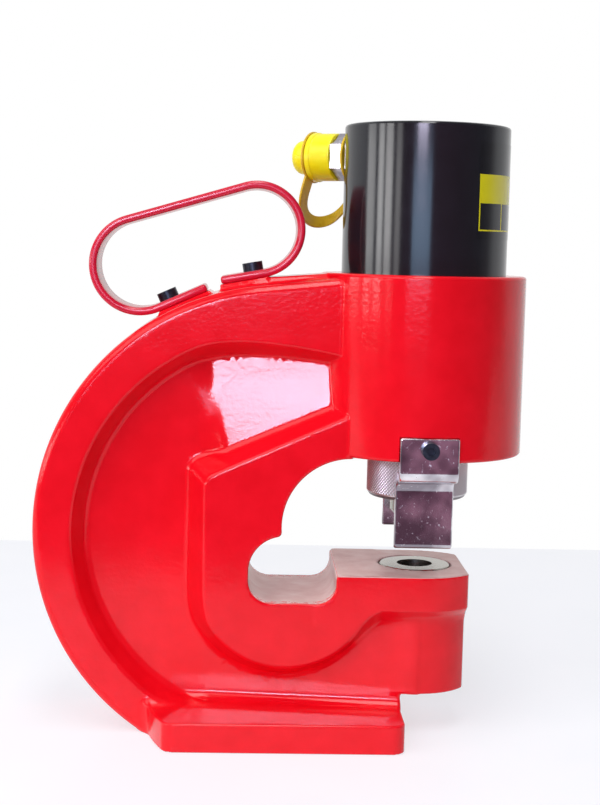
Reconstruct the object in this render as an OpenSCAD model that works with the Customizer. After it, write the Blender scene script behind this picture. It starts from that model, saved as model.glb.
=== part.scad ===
// Hydraulic hole punch: cast C frame, screwed-in cylinder, ram with punch, die in the anvil
// Millimetres, +Z up, origin in the middle of the foot's underside, +X towards the nose
// Inside the modules x and y are measured from the punch axis; at_axis() moves them to the foot

/* [Frame] */
// punch axis from the middle of the foot
axis_x = 91; // [88:0.5:94]
// width of the rim that runs round the C
rim_w = 76; // [72:0.5:78]
// outside radius of the C
rim_r = 156.5; // [155:0.5:158]
// wall of the rim at the edge of the pocket
rim_t = 27.5; // [25:0.5:30]
// wall draft of the cast pockets, degrees
draft = 25; // [18:1:28]
// web thickness at the back of the pockets
web_t = 44; // [40:1:48]
// width over the pads on both sides of the throat
pad_w = 89; // [86:0.5:91]
// radius of the pad round the notch
pad_r = 56.4; // [54:0.2:58]

/* [Throat] */
// punch axis to the back of the throat
throat = 109.5; // [106:0.5:112]
// clear height between the anvil and the head
daylight = 74.9; // [74.5:0.1:76]
// depth of the lower notch below the anvil
notch_d = 18.7; // [17:0.1:20]
// length of the notch
notch_l = 55.7; // [54:0.2:58]
// radius of the upper lobe
lobe_r = 43.7; // [42:0.1:45]

/* [Anvil and foot] */
// top of the anvil
anvil_z = 104.9; // [104:0.1:106]
// radius of the anvil round the punch axis
anvil_r = 45.2; // [45:0.1:46]
// flat end of the nose
nose_x = 32; // [30:0.5:34]
// underside of the nose
nose_z = 26.5; // [25:0.1:28]
// thickness of the foot
foot_t = 18.3; // [17:0.1:20]
// width of the foot
foot_w = 154; // [148:1:160]
// end of the foot behind the punch axis
foot_end = 10; // [8:0.5:12]
// length of the foot
foot_l = 166.9; // [160:0.5:170]
// fillet between the web and the foot
foot_fillet = 9; // [7:0.5:12]

/* [Head and cylinder] */
// radius of the head
head_r = 66; // [64:0.5:68]
// top of the head
head_top = 294.5; // [293.5:0.1:296]
// height of the cylinder above the head
cyl_h = 93.7; // [92.5:0.1:95]
// cylinder bore radius
bore_r = 40; // [39.5:0.1:40.5]
// wall of the cylinder round the bore
cyl_t = 13; // [12:0.1:14]
// wall of the spigot that screws into the head
spigot_t = 8; // [7:0.1:9]
// length of the spigot
spigot_l = 28.5; // [26:0.5:32]
// thickness of the closed end
end_t = 14; // [13:0.2:15]

/* [Ram] */
// piston rod radius
rod_r = 22.5; // [22:0.1:23]
// piston thickness
piston_t = 30; // [28:0.5:31]
// working stroke
stroke = 27; // [24:0.5:28]
// wire of the return spring
spring_wire = 7; // [6:0.2:7.4]
// turns of the return spring
spring_turns = 9; // [7:0.5:10]
// wall of the bush and wiper
bush_t = 4.5; // [4:0.1:5]

/* [Punch and die] */
// radius of the knurled nut
nut_r = 33; // [32:0.2:34]
// height of the nut
nut_h = 28.2; // [27:0.2:28.6]
// punch radius
punch_r = 11; // [8:0.1:11.2]
// how far the punch enters the die
bite = 5; // [3:0.2:6]
// die clearance all round the punch
die_clear = 0.6; // [0.3:0.05:0.6]
// die outside radius
die_r = 23; // [22:0.1:24]
// die height
die_h = 25; // [22:0.5:30]

/* [Strippers] */
// width of a stripper plate
strip_w = 36.5; // [34:0.5:38]
// plate thickness
strip_t = 5.5; // [5:0.1:5.5]
// nut to the lower leg
strip_clear = 5.7; // [5.5:0.1:7]
// bottom edge above the anvil
strip_gap = 17.8; // [16:0.2:20]
// top edge of the upper leg above the underside of the head
strip_rise = 15.7; // [15:0.1:17]

/* [Handle] */
// thickness of the handle bar
bar_t = 5; // [4.5:0.1:5.5]
// width of the handle bar
bar_w = 40; // [34:1:44]
// outside radius of the back bend
bend_back = 32; // [31.5:0.1:32.5]
// outside radius of the front bend
bend_front = 30.5; // [30:0.1:31]
// slope of the back foot of the handle, degrees
slope_back = 24.4; // [24:0.1:25]
// slope of the front foot, degrees
slope_front = 10.6; // [10:0.1:11]

/* [Coupler and cap] */
// middle of the oil port below the top of the cylinder
port_drop = 18.6; // [18.4:0.1:19]
// way the port points, degrees from +X
port_angle = 148; // [145:1:152]
// coupler hexagon across flats
hex_af = 27; // [25:0.5:28]
// coupler nose radius
cnose_r = 13; // [12.5:0.1:13.2]
// wall of the dust cap
cap_t = 2.6; // [2.2:0.1:3]
// length of the coupler nose
cnose_l = 15.8; // [15:0.1:17]
// strap width
strap_w = 10; // [8:0.5:11]
// strap thickness
strap_t = 1.6; // [1.2:0.1:1.8]
// how far the strap hangs from the port
strap_reach = 44.5; // [43:0.5:47]

/* [Fits] */
// running fit, radial
run = 0.05; // [0.02:0.01:0.1]
// clear gap between parts that pass each other
clear = 0.3; // [0.25:0.05:0.5]

/* [Hidden] */
$fn = 96;
red = [0.80, 0.05, 0.08];
steel = [0.72, 0.72, 0.74];
dark = [0.12, 0.12, 0.13];
yellow = [0.95, 0.75, 0.08];

// head, throat and notch
head_z = anvil_z + daylight;
lobe_x = 45.3;
lobe_z = head_z - lobe_r - 0.8;
notch_z = anvil_z - notch_d;
notch_x = throat - notch_l;
notch_ru = 22.5;
notch_rb = 14.5;
notch_rf = 12.3;
notch_up = notch_z + 20.4;

// rim, pocket and web: the round of the rim runs into a straight top that climbs to the head
rim_x = 20 - throat;
rim_z = head_top - 8.2 - rim_r;
pocket_x = rim_x - 3;
pocket_z = rim_z - 2;
pocket_r = rim_r - rim_t;
top_x = rim_x - 17.7;
top_z = head_top - 9.2;
top_l = 56;
top_h = 6.4;
back_x = -foot_end - foot_l;
foot_arc = 185;
web_x = -throat - 25.5;
web_k = 0.116;
nose_r = web_t / 2 - web_k * web_x + 0.3;

// pad round the throat and the lip of the anvil
pad_x = -throat - 28.5;
pad_z = anvil_z + 60.6;
pad_cx = -throat + notch_l / 2 - 3.95;
pad_cz = notch_z + 15.1;
lip_z = anvil_z - 22.4;
lip_c = 6;

// heights inside the head and cylinder
wall_z = head_z + 20.2;
shoulder_z = head_top - spigot_l;
cyl_top = head_top + cyl_h;
cyl_r = bore_r + cyl_t;
spigot_r = bore_r + spigot_t;
bore_top = cyl_top - end_t;
chamber_r = bore_r + 2;
bush_r = rod_r + bush_t;
spring_r = (rod_r + chamber_r) / 2;
port_z = cyl_top - port_drop;
piston_top = bore_top - 10.2;
piston_z = piston_top - piston_t;
seal_z = piston_top - 13;
wear_z = piston_z + 4.5;
nut_z = head_z - 1 - nut_h;
lip_h = 8;
flange_h = 8;
rod_z = nut_z + lip_h + flange_h;
shank_r = rod_r - 5.5;
tip_z = anvil_z + stroke - bite;
hole_r = punch_r + die_clear;
slug_r = hole_r + 0.9;
die_z = anvil_z - die_h;
seal_w = 7;
seal_h = 6.5;
ring_h = 2.5;

// strippers and their screws
strip_out = head_r;
strip_in = nut_r + strip_clear + strip_t;
ss_z = head_z + 8.4;
ss_r = 3;
ss_d = 10.6;
ss_h = 6;
ss_l = 22;
ss_key = 5;
ss_deep = 3;

// handle: the back foot lies on the round of the rim, the front foot on its straight top
foot_back_l = 33;
foot_front_l = 28;
feet_gap = 8.4;
seat_rise = 1.45;
seat_at = 15;
top_rise = 4.67;
back_d = rim_r + seat_rise + bend_back;
blx = rim_x - back_d * sin(slope_back) - seat_at * cos(slope_back);
blz = rim_z + back_d * cos(slope_back) - seat_at * sin(slope_back);
ffx = blx + bend_back * sin(slope_back) + foot_back_l * cos(slope_back) + feet_gap + foot_front_l * cos(slope_front);
ffz = top_z + (ffx - top_x) * top_h / top_l + top_rise;
bfx = ffx - bend_front * sin(slope_front);
bfz = ffz + bend_front * cos(slope_front);
bar_l = norm([bfx - blx, bfz - blz]);
bar_n = atan2(bfz - blz, bfx - blx) + acos((bend_back - bend_front) / bar_l);
screw_back = 7.7;
screw_front = -6.6;
seat_t = 10;
hs_r = 4;
hs_d = 13;
hs_h = 5.4;
hs_l = 20;
hs_key = 6;
hs_deep = 3.2;

// coupler stations along its axis, from the cylinder axis
cs_ring = cyl_r + 0.1;
cs_hex = cyl_r + 3;
cs_nose = cs_hex + 8;
cs_end = cs_nose + cnose_l;
cs_cap = cs_nose + clear;
cs_flange = cs_end + 2.5;
cs_knob = cs_flange + 2.2;
cs_tip = cs_flange + 14.5;
cs_bed = cs_hex + 0.8;
cs_back = cs_bed + 8;
cs_seat = cs_back + 6;
cap_r = cnose_r + cap_t;
knob_r = 11.2;
groove_r = 9.9;
neck_r = 10.4;
thread_r = 8.5;
pop_r = 6.2;
eye_r = 17;
strap_from = -70;
strap_to = 25;
strap_swing = 12;

module at_axis() {
  translate([axis_x, 0, 0]) children();
}

// extrude a drawing made in x and z, middle on the plane of symmetry
module across(w) {
  rotate([90, 0, 0]) linear_extrude(height = w, center = true) children();
}

// front and back alike
module both_sides() {
  children();
  mirror([0, 1, 0]) children();
}

// along the oil port, local z outwards
module along_port() {
  translate([0, 0, port_z]) rotate([0, 0, port_angle]) rotate([0, 90, 0]) children();
}

// round back and a straight top that climbs to the head
module rim_outline() {
  translate([rim_x, rim_z]) circle(rim_r);
  polygon([[top_x, top_z], [top_x + top_l, top_z + top_h], [0, top_z + top_h], [0, wall_z], [top_x, wall_z]]);
  translate([back_x + 1, 0]) square([foot_l - 22, rim_z]);
}

// cast pocket on the front side: drafted rim wall and a sloping roof near the head
module pocket() {
  h = rim_w / 2;
  intersection() {
    translate([pocket_x, 1, pocket_z]) rotate([90, 0, 0])
      cylinder(h = h + 3, r1 = pocket_r - tan(draft) * (h + 1), r2 = pocket_r + tan(draft) * 2);
    translate([pocket_x - 22.5, -h, head_top - 40.8]) rotate([0, 9.3, 0]) rotate([-draft, 0, 0])
      translate([-300, -100, -300]) cube([600, 300, 300]);
  }
}

module rim() {
  difference() {
    across(rim_w) intersection() {
      rim_outline();
      translate([-400, 0]) square([370, head_top + 25]);
    }
    both_sides() pocket();
  }
}

// the web thickens evenly from the back pocket to the nose
module web_plan() {
  h = web_t / 2;
  f = h + web_k * (60 - web_x);
  polygon([[-400, -h], [web_x, -h], [60, -f], [60, f], [web_x, h], [-400, h]]);
}

module web() {
  intersection() {
    linear_extrude(height = head_top + 10) web_plan();
    across(200) difference() {
      intersection() {
        rim_outline();
        translate([-400, 0]) square([400, head_top - 4.5]);
      }
      translate([-foot_end, -1]) square([40, nose_z + 1]);
    }
  }
}

// raised pad round the throat, one side
module pad() {
  intersection() {
    union() {
      translate([pad_cx, 0, pad_cz]) rotate([90, 0, 0])
        cylinder(h = pad_w / 2, r1 = pad_r + tan(draft) * pad_w / 2, r2 = pad_r);
      translate([pad_x - 42, -pad_w / 2, pad_cz]) cube([12 - pad_x, pad_w / 2, head_top - 63.2 - pad_cz]);
    }
    translate([pad_x, -pad_w / 2, 0]) rotate([0, 0, draft])
      translate([0, -100, -10]) cube([400, 300, 400]);
    translate([pad_x, -pad_w / 2, pad_z]) rotate([0, -24.5, 0]) rotate([draft, 0, 0])
      translate([-200, -100, -400]) cube([600, 300, 400]);
    translate([-300, -pad_w / 2, foot_t]) cube([330, pad_w / 2, 250]);
  }
}

module anvil() {
  h = pad_w / 2;
  c = lip_c;
  x = notch_x + 6.2;
  translate([-x, 0, 0]) rotate([90, 0, 90]) linear_extrude(height = x)
    polygon([[-h, lip_z], [-h, anvil_z], [h, anvil_z], [h, lip_z], [h - c, lip_z - c], [c - h, lip_z - c]]);
  intersection() {
    union() {
      translate([0, 0, lip_z]) cylinder(h = anvil_z - lip_z, r = anvil_r);
      translate([0, 0, lip_z - c]) cylinder(h = c, r1 = anvil_r - c, r2 = anvil_r);
      translate([0, 0, nose_z]) cylinder(h = anvil_z - nose_z - 1, r = nose_r);
    }
    translate([-x, -80, 0]) cube([x + nose_x, 160, 200]);
  }
}

module foot_plan() {
  h = foot_w / 2;
  r = 9;
  intersection() {
    union() {
      translate([back_x - 40, -h]) square([foot_l + 40 - r, foot_w]);
      translate([back_x - 40, r - h]) square([foot_l + 40, foot_w - 2 * r]);
      for (s = [-1, 1]) translate([-foot_end - r, s * (h - r)]) circle(r);
    }
    translate([back_x + foot_arc + 1, 0]) circle(foot_arc);
  }
}

module foot() {
  linear_extrude(height = foot_t) foot_plan();
}

// fillet along one side of the web
module foot_bead() {
  r = foot_fillet;
  intersection() {
    translate([web_x, -web_t / 2, foot_t]) rotate([0, 0, -atan(web_k)]) translate([-50, 0, 0])
      rotate([90, 0, 90]) linear_extrude(height = 200) difference() {
        translate([-r, -2]) square([r + 12, r + 2]);
        translate([-r - 0.06, r + 0.06]) circle(r);
      }
    linear_extrude(height = 100) foot_plan();
  }
}

// local frame of a handle foot: x along the foot, z square to it, origin at the end of the bend
module at_back_foot() {
  translate([blx, 0, blz]) rotate([0, -slope_back, 0]) translate([0, 0, -bend_back]) children();
}

module at_front_foot() {
  translate([bfx, 0, bfz]) rotate([0, -slope_front, 0]) translate([0, 0, -bend_front]) children();
}

module handle_seats() {
  at_back_foot() translate([-1, -bar_w / 2, -seat_t]) cube([foot_back_l + 2, bar_w, seat_t]);
  at_front_foot() translate([-foot_front_l - 1, -bar_w / 2, -seat_t]) cube([foot_front_l + 2, bar_w, seat_t]);
}

// saddle from the front seat to the head
module saddle() {
  across(bar_w - 1) polygon([[ffx - 6, ffz - 14], [ffx - 6, ffz - 3], [ffx + 0.5, ffz - clear], [-head_r + 14, head_top - 0.4],
    [-head_r / 2, head_top - 0.4], [-head_r / 2, ffz - 14]]);
}

module throat_outline() {
  intersection() {
    translate([-lobe_x, lobe_z]) circle(lobe_r);
    translate([-200, anvil_z]) square([400, 200]);
  }
  translate([-lobe_x, anvil_z]) square([200, head_z - anvil_z]);
  // notch: large round at the top of the back wall, smaller rounds on the floor
  translate([notch_ru - throat, notch_up]) circle(notch_ru);
  translate([0.06 - throat, notch_z + notch_rb]) square([notch_ru, notch_up - notch_z - notch_rb]);
  translate([notch_rb - throat, notch_z + notch_rb]) circle(notch_rb);
  translate([-notch_x - notch_rf, notch_z + notch_rf]) circle(notch_rf);
  translate([notch_rb - throat, notch_z + 0.06]) square([notch_l - notch_rb - notch_rf, notch_up - notch_z + 15]);
  translate([-notch_x - notch_rf - 1, notch_z + notch_rf])
    square([notch_rf + 0.94, anvil_z - notch_z - notch_rf + 1]);
}

module frame() {
  color(red) at_axis() difference() {
    union() {
      rim();
      web();
      both_sides() pad();
      translate([0, 0, head_z]) cylinder(h = head_top - head_z, r = head_r);
      anvil();
      foot();
      both_sides() foot_bead();
      handle_seats();
      saddle();
    }
    across(300) throat_outline();
    // head bores: spigot thread, spring chamber, bush
    translate([0, 0, shoulder_z]) cylinder(h = 60, r = spigot_r);
    translate([0, 0, wall_z]) cylinder(h = 120, r = chamber_r);
    translate([0, 0, head_z - 1]) cylinder(h = 40, r = bush_r);
    // die seat and slug hole
    translate([0, 0, die_z]) cylinder(h = die_h + 1, r = die_r);
    translate([0, 0, -1]) cylinder(h = anvil_z, r = slug_r);
    // flats and tapped holes for the strippers
    both_sides() {
      translate([-strip_w / 2, -head_r - 5, head_z - 1])
        cube([strip_w, head_r + 5 - strip_out + strip_t, strip_rise + 1]);
      translate([0, strip_t - strip_out - 1, ss_z]) rotate([-90, 0, 0]) cylinder(h = ss_l - strip_t + 2.5, r = ss_r);
    }
    // spot faces and tapped holes for the handle
    at_back_foot() translate([-1, -bar_w / 2 - 3, 0]) cube([foot_back_l + 2, bar_w + 6, 12]);
    at_front_foot() translate([-foot_front_l - 1, -bar_w / 2 - 3, 0]) cube([foot_front_l + 1, bar_w + 6, 12]);
    at_back_foot() translate([screw_back, 0, bar_t - hs_l - 3]) cylinder(h = hs_l - bar_t + 4, r = hs_r);
    at_front_foot() translate([screw_front, 0, bar_t - hs_l - 3]) cylinder(h = hs_l - bar_t + 4, r = hs_r);
  }
}

module cylinder_body() {
  color(dark) at_axis() difference() {
    union() {
      translate([0, 0, head_top]) rotate_extrude()
        polygon([[0, 0], [cyl_r, 0], [cyl_r, cyl_top - head_top - 1.5], [cyl_r - 0.5, cyl_top - head_top - 0.5],
          [cyl_r - 1.5, cyl_top - head_top], [0, cyl_top - head_top]]);
      translate([0, 0, shoulder_z]) cylinder(h = spigot_l + 1, r = spigot_r);
    }
    translate([0, 0, shoulder_z - 1]) cylinder(h = bore_top - shoulder_z + 1, r = bore_r);
    along_port() translate([0, 0, bore_r + 2]) cylinder(h = cyl_t + 10, r = thread_r);
    along_port() translate([0, 0, 20]) cylinder(h = 40, r = 3.5);
  }
}

module piston_rod() {
  color(steel) at_axis() rotate_extrude()
    polygon([[0, rod_z], [rod_r - 1.5, rod_z], [rod_r, rod_z + 1.5], [rod_r, piston_z],
      [bore_r - run, piston_z], [bore_r - run, wear_z], [bore_r - 2.5, wear_z], [bore_r - 2.5, wear_z + 8],
      [bore_r - run, wear_z + 8], [bore_r - run, seal_z], [bore_r - seal_w, seal_z], [bore_r - seal_w, seal_z + ring_h + seal_h],
      [bore_r - run, seal_z + ring_h + seal_h], [bore_r - run, piston_top - 2], [bore_r - 2, piston_top], [25, piston_top],
      [24, bore_top - clear], [0, bore_top - clear]]);
}

// U ring, open towards the oil
module piston_seal() {
  color(dark) at_axis() translate([0, 0, seal_z + ring_h]) rotate_extrude()
    polygon([[bore_r - seal_w, 0], [bore_r - run / 2, 0], [bore_r - run / 2, seal_h], [bore_r - 2, seal_h],
      [bore_r - seal_w / 2, 2.5], [bore_r - 5, seal_h], [bore_r - seal_w, seal_h]]);
}

module backup_ring() {
  color([0.9, 0.88, 0.8]) at_axis() translate([0, 0, seal_z]) rotate_extrude()
    translate([bore_r - seal_w, 0]) square([seal_w - run, ring_h]);
}

module wear_ring() {
  color([0.45, 0.3, 0.2]) at_axis() translate([0, 0, wear_z]) rotate_extrude()
    translate([bore_r - 2.5, 0]) square([2.5 - run / 2, 8]);
}

module rod_bush() {
  color([0.72, 0.52, 0.25]) at_axis() translate([0, 0, head_z + 5.2]) difference() {
    cylinder(h = wall_z - head_z - 5.2, r = bush_r);
    translate([0, 0, -1]) cylinder(h = 40, r = rod_r + run);
  }
}

module rod_wiper() {
  color(dark) at_axis() translate([0, 0, head_z]) rotate_extrude()
    polygon([[rod_r + run, 0], [rod_r + 0.9, 0.6], [bush_r, 0.6], [bush_r, 5.2], [rod_r + run, 5.2]]);
}

// one unbroken round wire, n turns between two heights, eight rings a turn and six sides
module coil(n, r, wire, h) {
  k = 8 * n;
  p = [for (i = [0 : k]) for (j = [0 : 5]) let (a = 45 * i, b = 60 * j + 90)
    [(r + wire / 2 * cos(b)) * cos(a), (r + wire / 2 * cos(b)) * sin(a),
      wire / 2 + (h - wire) * i / k + wire / 2 * sin(b)]];
  side = [for (i = [0 : k - 1]) for (j = [0 : 5])
    [6 * i + j, 6 * i + (j + 1) % 6, 6 * i + 6 + (j + 1) % 6, 6 * i + 6 + j]];
  polyhedron(p, concat([[5, 4, 3, 2, 1, 0]], side, [[for (j = [0 : 5]) 6 * k + j]]), convexity = 10);
}

module return_spring() {
  h = piston_z - wall_z;
  echo("gap between turns of the return spring", (h - spring_wire) / spring_turns - spring_wire);
  color(steel) at_axis() translate([0, 0, wall_z]) coil(spring_turns, spring_r, spring_wire, h);
}

// knurled nut, screwed on the rod over the head of the punch
module punch_nut() {
  color(steel) at_axis() translate([0, 0, nut_z]) rotate_extrude()
    polygon([[shank_r + clear, 0], [nut_r - 2.5, 0], [nut_r, 2.5], [nut_r, nut_h - 1.5], [nut_r - 1.5, nut_h],
      [rod_r + run, nut_h], [rod_r + run, lip_h - run], [shank_r + clear, lip_h - run]]);
}

module punch() {
  color(steel) at_axis() rotate_extrude()
    polygon([[0, tip_z], [punch_r, tip_z], [punch_r, tip_z + 7], [shank_r, tip_z + 14], [shank_r, nut_z + lip_h],
      [rod_r - 0.6, nut_z + lip_h], [rod_r - 0.6, rod_z], [0, rod_z]]);
}

module die() {
  color(steel) at_axis() translate([0, 0, die_z]) rotate_extrude()
    polygon([[slug_r, 0], [die_r, 0], [die_r, die_h - 0.6], [die_r - 0.6, die_h], [hole_r, die_h],
      [hole_r, die_h - 8], [slug_r, die_h - 9]]);
}

// bent plate: upper leg on the flat of the head, step inwards, lower leg beside the punch
module stripper() {
  o = strip_out - strip_t;
  i = strip_in - strip_t;
  r = 2;
  z = head_z - 12.8;
  f = strip_t + r;
  difference() {
    rotate([90, 0, 90]) linear_extrude(height = strip_w, center = true) {
      translate([-strip_out, z + f]) square([strip_t, head_z + strip_rise - z - f]);
      translate([f - strip_out, z]) square([strip_out - f - i - f, strip_t]);
      translate([-strip_in, anvil_z + strip_gap]) square([strip_t, z + strip_t - f - anvil_z - strip_gap]);
      intersection() {
        translate([f - strip_out, z + f]) difference() { circle(f); circle(r); }
        translate([-strip_out, z]) square([f, f]);
      }
      intersection() {
        translate([-i - f, z + strip_t - f]) difference() { circle(f); circle(r); }
        translate([-i - f, z + strip_t - f]) square([f, f]);
      }
    }
    translate([0, -strip_out - 1, ss_z]) rotate([-90, 0, 0]) cylinder(h = strip_t + 3, r = ss_r + clear);
  }
}

module stripper_front() {
  color(steel) at_axis() stripper();
}

module stripper_rear() {
  color(steel) at_axis() mirror([0, 1, 0]) stripper();
}

// socket head cap screw, head up, underside of the head at the origin
module cap_screw(r, head_d, head_h, len, key, deep) {
  difference() {
    union() {
      cylinder(h = head_h, d = head_d);
      translate([0, 0, -len]) cylinder(h = len + 0.1, r = r);
    }
    translate([0, 0, head_h - deep]) cylinder(h = head_h, d = key / cos(30), $fn = 6);
  }
}

module stripper_screws() {
  color(dark) at_axis() both_sides() translate([0, -strip_out, ss_z]) rotate([90, 0, 0])
    cap_screw(ss_r, ss_d, ss_h, ss_l, ss_key, ss_deep);
}

// points of an arc from angle a to angle b
function arc(x, z, r, a, b) = [for (i = [0 : 40]) let (t = a + (b - a) * i / 40) [x + r * cos(t), z + r * sin(t)]];

// end of a handle foot, along the foot and square to it from the middle of the bend
function foot_tip(x, z, slope, along, down) =
  [[x + along * cos(slope) + down * sin(slope), z + along * sin(slope) - down * cos(slope)]];

// flat bar bent to a closed grip, two feet screwed to the rim
module handle() {
  b0 = slope_back - 90;
  f0 = slope_front - 90;
  color(red) at_axis() difference() {
    across(bar_w) polygon(concat(
      foot_tip(blx, blz, slope_back, foot_back_l, bend_back),
      arc(blx, blz, bend_back, b0, bar_n - 360),
      arc(bfx, bfz, bend_front, bar_n, f0),
      foot_tip(bfx, bfz, slope_front, -foot_front_l, bend_front),
      foot_tip(bfx, bfz, slope_front, -foot_front_l, bend_front - bar_t),
      arc(bfx, bfz, bend_front - bar_t, f0, bar_n),
      arc(blx, blz, bend_back - bar_t, bar_n - 360, b0),
      foot_tip(blx, blz, slope_back, foot_back_l, bend_back - bar_t)));
    at_back_foot() translate([screw_back, 0, -1]) cylinder(h = bar_t + 2, r = hs_r + clear);
    at_front_foot() translate([screw_front, 0, -1]) cylinder(h = bar_t + 2, r = hs_r + clear);
  }
}

module handle_screws() {
  color(dark) at_axis() {
    at_back_foot() translate([screw_back, 0, bar_t]) cap_screw(hs_r, hs_d, hs_h, hs_l, hs_key, hs_deep);
    at_front_foot() translate([screw_front, 0, bar_t]) cap_screw(hs_r, hs_d, hs_h, hs_l, hs_key, hs_deep);
  }
}

// male half of the hose coupler: thread, neck, hexagon, nose with the valve seat inside
module coupler_body() {
  color(steel) at_axis() along_port() difference() {
    union() {
      translate([0, 0, bore_r + 2]) cylinder(h = cyl_t + 1, r = thread_r);
      translate([0, 0, cyl_r]) cylinder(h = 3, r = neck_r);
      translate([0, 0, cs_hex]) cylinder(h = cs_nose - cs_hex, d = hex_af / cos(30), $fn = 6);
      translate([0, 0, cs_nose - 0.1]) rotate_extrude()
        polygon([[0, 0], [cnose_r, 0], [cnose_r, cnose_l - 0.9], [cnose_r - 1, cnose_l + 0.1], [0, cnose_l + 0.1]]);
    }
    translate([0, 0, bore_r]) cylinder(h = 30, r = 3.5);
    translate([0, 0, cs_bed]) cylinder(h = cs_seat - cs_bed, r = pop_r + clear);
    translate([0, 0, cs_seat]) cylinder(h = 2.7, r1 = pop_r + clear, r2 = pop_r + clear - 2.7);
    translate([0, 0, cs_seat]) cylinder(h = 40, r = pop_r + clear - 2.7);
  }
}

module valve_poppet() {
  color(steel) at_axis() along_port() rotate_extrude()
    polygon([[0, cs_back], [pop_r, cs_back], [pop_r, cs_seat + clear - run], [2.5, cs_seat + clear - run + pop_r - 2.5],
      [2.5, cs_end - 1.5], [0, cs_end - 1.5]]);
}

module valve_spring() {
  h = cs_back - cs_bed;
  echo("gap between turns of the valve spring", (h - 1.1) / 3.5 - 1.1);
  color(steel) at_axis() along_port() translate([0, 0, cs_bed]) coil(3.5, 4.6, 1.1, h);
}

module dust_cap() {
  color(yellow) at_axis() along_port() rotate_extrude()
    polygon([[cnose_r + run, cs_cap], [cap_r - 0.6, cs_cap], [cap_r, cs_cap + 0.6], [cap_r, cs_flange - 4],
      [cap_r + 0.7, cs_flange - 3.4], [cap_r + 0.7, cs_flange - 0.6], [cap_r + 0.1, cs_flange],
      [groove_r, cs_flange], [groove_r, cs_knob], [knob_r, cs_knob], [knob_r, cs_tip - 6],
      [knob_r - 0.8, cs_tip - 3.4], [knob_r - 2.8, cs_tip - 1.4], [knob_r - 5.6, cs_tip - 0.4], [0, cs_tip], [0, cs_end + 0.5], [cnose_r + run, cs_end + 0.5]]);
}

// middle of the strap from the neck, u = 0, to the knob, u = 1: the way it hangs turns from back to front
function strap_at(u) = let (a = 180 * u, f = strap_from + (strap_to - strap_from) * u,
    n = cs_ring + 0.2 + strap_t / 2, k = cs_flange + 0.2 + strap_t / 2,
    s = n + (k - n) * (1 - cos(a)) / 2 + strap_swing * sin(a),
    d = eye_r - 1 + (strap_reach - eye_r + 1) * pow(max(sin(a), 0), u < 0.5 ? 1.4 : 0.6))
  [s, d * sin(f), -d * cos(f)];

// across the strap: it keeps the turn of the neck and twists near the knob
function strap_across(u) = let (f = strap_from + (strap_to - strap_from) * pow(u, 3)) [0, cos(f), sin(f)];

function unit(v) = v / norm(v);

// flat band in a hanging loop, swept as one strip
module strap_band() {
  n = 36;
  p = [for (i = [0 : n]) let (u = i / n, c = strap_at(u), w = strap_across(u),
      along = unit(strap_at(min(u + 0.01, 1)) - strap_at(max(u - 0.01, 0))), t = unit(cross(along, w)))
    for (q = [[1, 1], [-1, 1], [-1, -1], [1, -1]]) c + w * q[0] * strap_w / 2 + t * q[1] * strap_t / 2];
  side = [for (i = [0 : n - 1]) for (j = [0 : 3]) let (a = 4 * i + j, b = 4 * i + (j + 1) % 4)
    each [[a, b + 4, b], [a, a + 4, b + 4]]];
  polyhedron(p, concat([[0, 1, 2], [0, 2, 3]], side, [[4 * n + 2, 4 * n + 1, 4 * n], [4 * n + 3, 4 * n + 2, 4 * n]]),
    convexity = 10);
}

// eye round the neck, hanging band, eye round the knob of the cap
module cap_strap() {
  color(yellow) at_axis() {
    along_port() translate([0, 0, cs_ring + 0.2]) difference() {
      cylinder(h = strap_t, r = eye_r);
      translate([0, 0, -1]) cylinder(h = 6, r = neck_r);
    }
    along_port() translate([0, 0, cs_flange + 0.2]) difference() {
      cylinder(h = strap_t, r = eye_r);
      translate([0, 0, -1]) cylinder(h = 6, r = groove_r);
    }
    translate([0, 0, port_z]) rotate([0, 0, port_angle]) strap_band();
  }
}

frame();
cylinder_body();
piston_rod();
piston_seal();
backup_ring();
wear_ring();
rod_bush();
rod_wiper();
return_spring();
punch_nut();
punch();
die();
stripper_front();
stripper_rear();
stripper_screws();
handle();
handle_screws();
coupler_body();
valve_poppet();
valve_spring();
dust_cap();
cap_strap();
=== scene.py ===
# Hydraulic hole punch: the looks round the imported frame, in metres, with lengths of pieces in millimetres
import math

import bmesh
import bpy
import numpy as np
import openvdb
from mathutils import Matrix, Vector


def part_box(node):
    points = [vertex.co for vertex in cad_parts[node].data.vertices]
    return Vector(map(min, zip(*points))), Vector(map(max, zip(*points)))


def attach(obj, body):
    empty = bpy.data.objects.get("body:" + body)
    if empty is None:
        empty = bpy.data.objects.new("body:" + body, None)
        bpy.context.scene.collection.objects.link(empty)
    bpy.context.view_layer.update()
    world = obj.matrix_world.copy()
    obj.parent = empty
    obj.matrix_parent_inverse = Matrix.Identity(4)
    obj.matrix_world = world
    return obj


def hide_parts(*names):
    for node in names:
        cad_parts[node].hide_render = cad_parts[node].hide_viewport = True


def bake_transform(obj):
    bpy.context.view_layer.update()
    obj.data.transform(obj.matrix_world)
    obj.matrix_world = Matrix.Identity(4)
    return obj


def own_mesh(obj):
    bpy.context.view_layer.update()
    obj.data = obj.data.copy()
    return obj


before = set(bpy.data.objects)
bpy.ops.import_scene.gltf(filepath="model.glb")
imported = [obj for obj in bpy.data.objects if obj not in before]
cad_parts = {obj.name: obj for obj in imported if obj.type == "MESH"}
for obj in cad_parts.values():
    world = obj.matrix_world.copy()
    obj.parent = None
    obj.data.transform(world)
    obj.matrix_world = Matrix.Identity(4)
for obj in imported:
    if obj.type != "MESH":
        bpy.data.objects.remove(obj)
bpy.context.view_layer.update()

MM = 0.001


def middle(node):
    """Middle of a CAD node, in millimetres."""
    lo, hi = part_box(node)
    return (lo + hi) / 2 / MM


def low(node):
    """Least x, y and z of a CAD node, in millimetres."""
    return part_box(node)[0] / MM


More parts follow.
